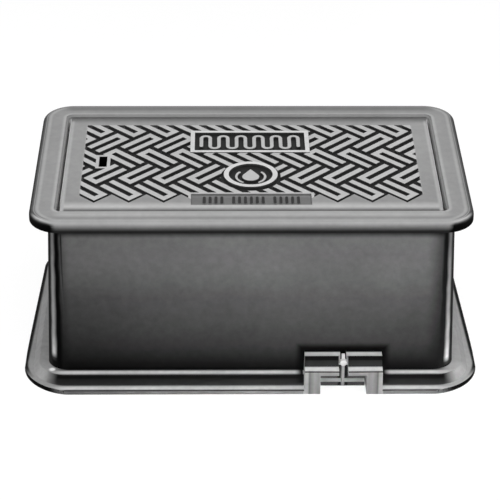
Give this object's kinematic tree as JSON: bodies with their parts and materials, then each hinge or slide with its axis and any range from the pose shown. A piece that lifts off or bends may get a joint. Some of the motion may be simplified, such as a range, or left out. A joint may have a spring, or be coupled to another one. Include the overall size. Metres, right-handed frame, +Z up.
{
  "type": "hose bib box",
  "caption": "Low rectangular ground box with a hinged herringbone tread lid, base flange and front pipe hood, to house a garden tap.",
  "frame": {"origin": "middle of the base on the ground", "axes": "+X along the long side towards the hinge end, -Y towards the front with the pipe hood, +Z up"},
  "size_m": [0.364, 0.226, 0.15],
  "materials": {
    "body_plastic": "fine matt moulding texture, dark grey",
    "frame_plastic": "fine matt moulding texture, mid grey",
    "lid_plastic": "fine matt moulding texture, mid grey, lighter on the ridges",
    "plug_plastic": "fine matt moulding texture, grey",
    "steel": "satin stainless steel",
    "stainless_sheet": "brushed stainless sheet"
  },
  "bodies": {
    "box": {"box_body": "body_plastic", "top_frame": "frame_plastic", "frame_screws": "steel", "tap_bracket": "stainless_sheet", "bracket_screws": "steel"},
    "lid": {"lid": "lid_plastic", "hinge_pin_front": "steel", "hinge_pin_rear": "steel"},
    "plug": {"pipe_plug": "plug_plastic"}
  },
  "joints": [
    {"name": "lid_hinge", "type": "hinge", "parent": "box", "child": "lid", "pos_m": [0.1435, 0, 0.1447], "axis": [0, 1, 0], "range_deg": [0, 105]},
    {"name": "plug_slide", "type": "slide", "parent": "box", "child": "plug", "axis": [0, -1, 0], "range_m": [0, 0.035]}
  ]
}
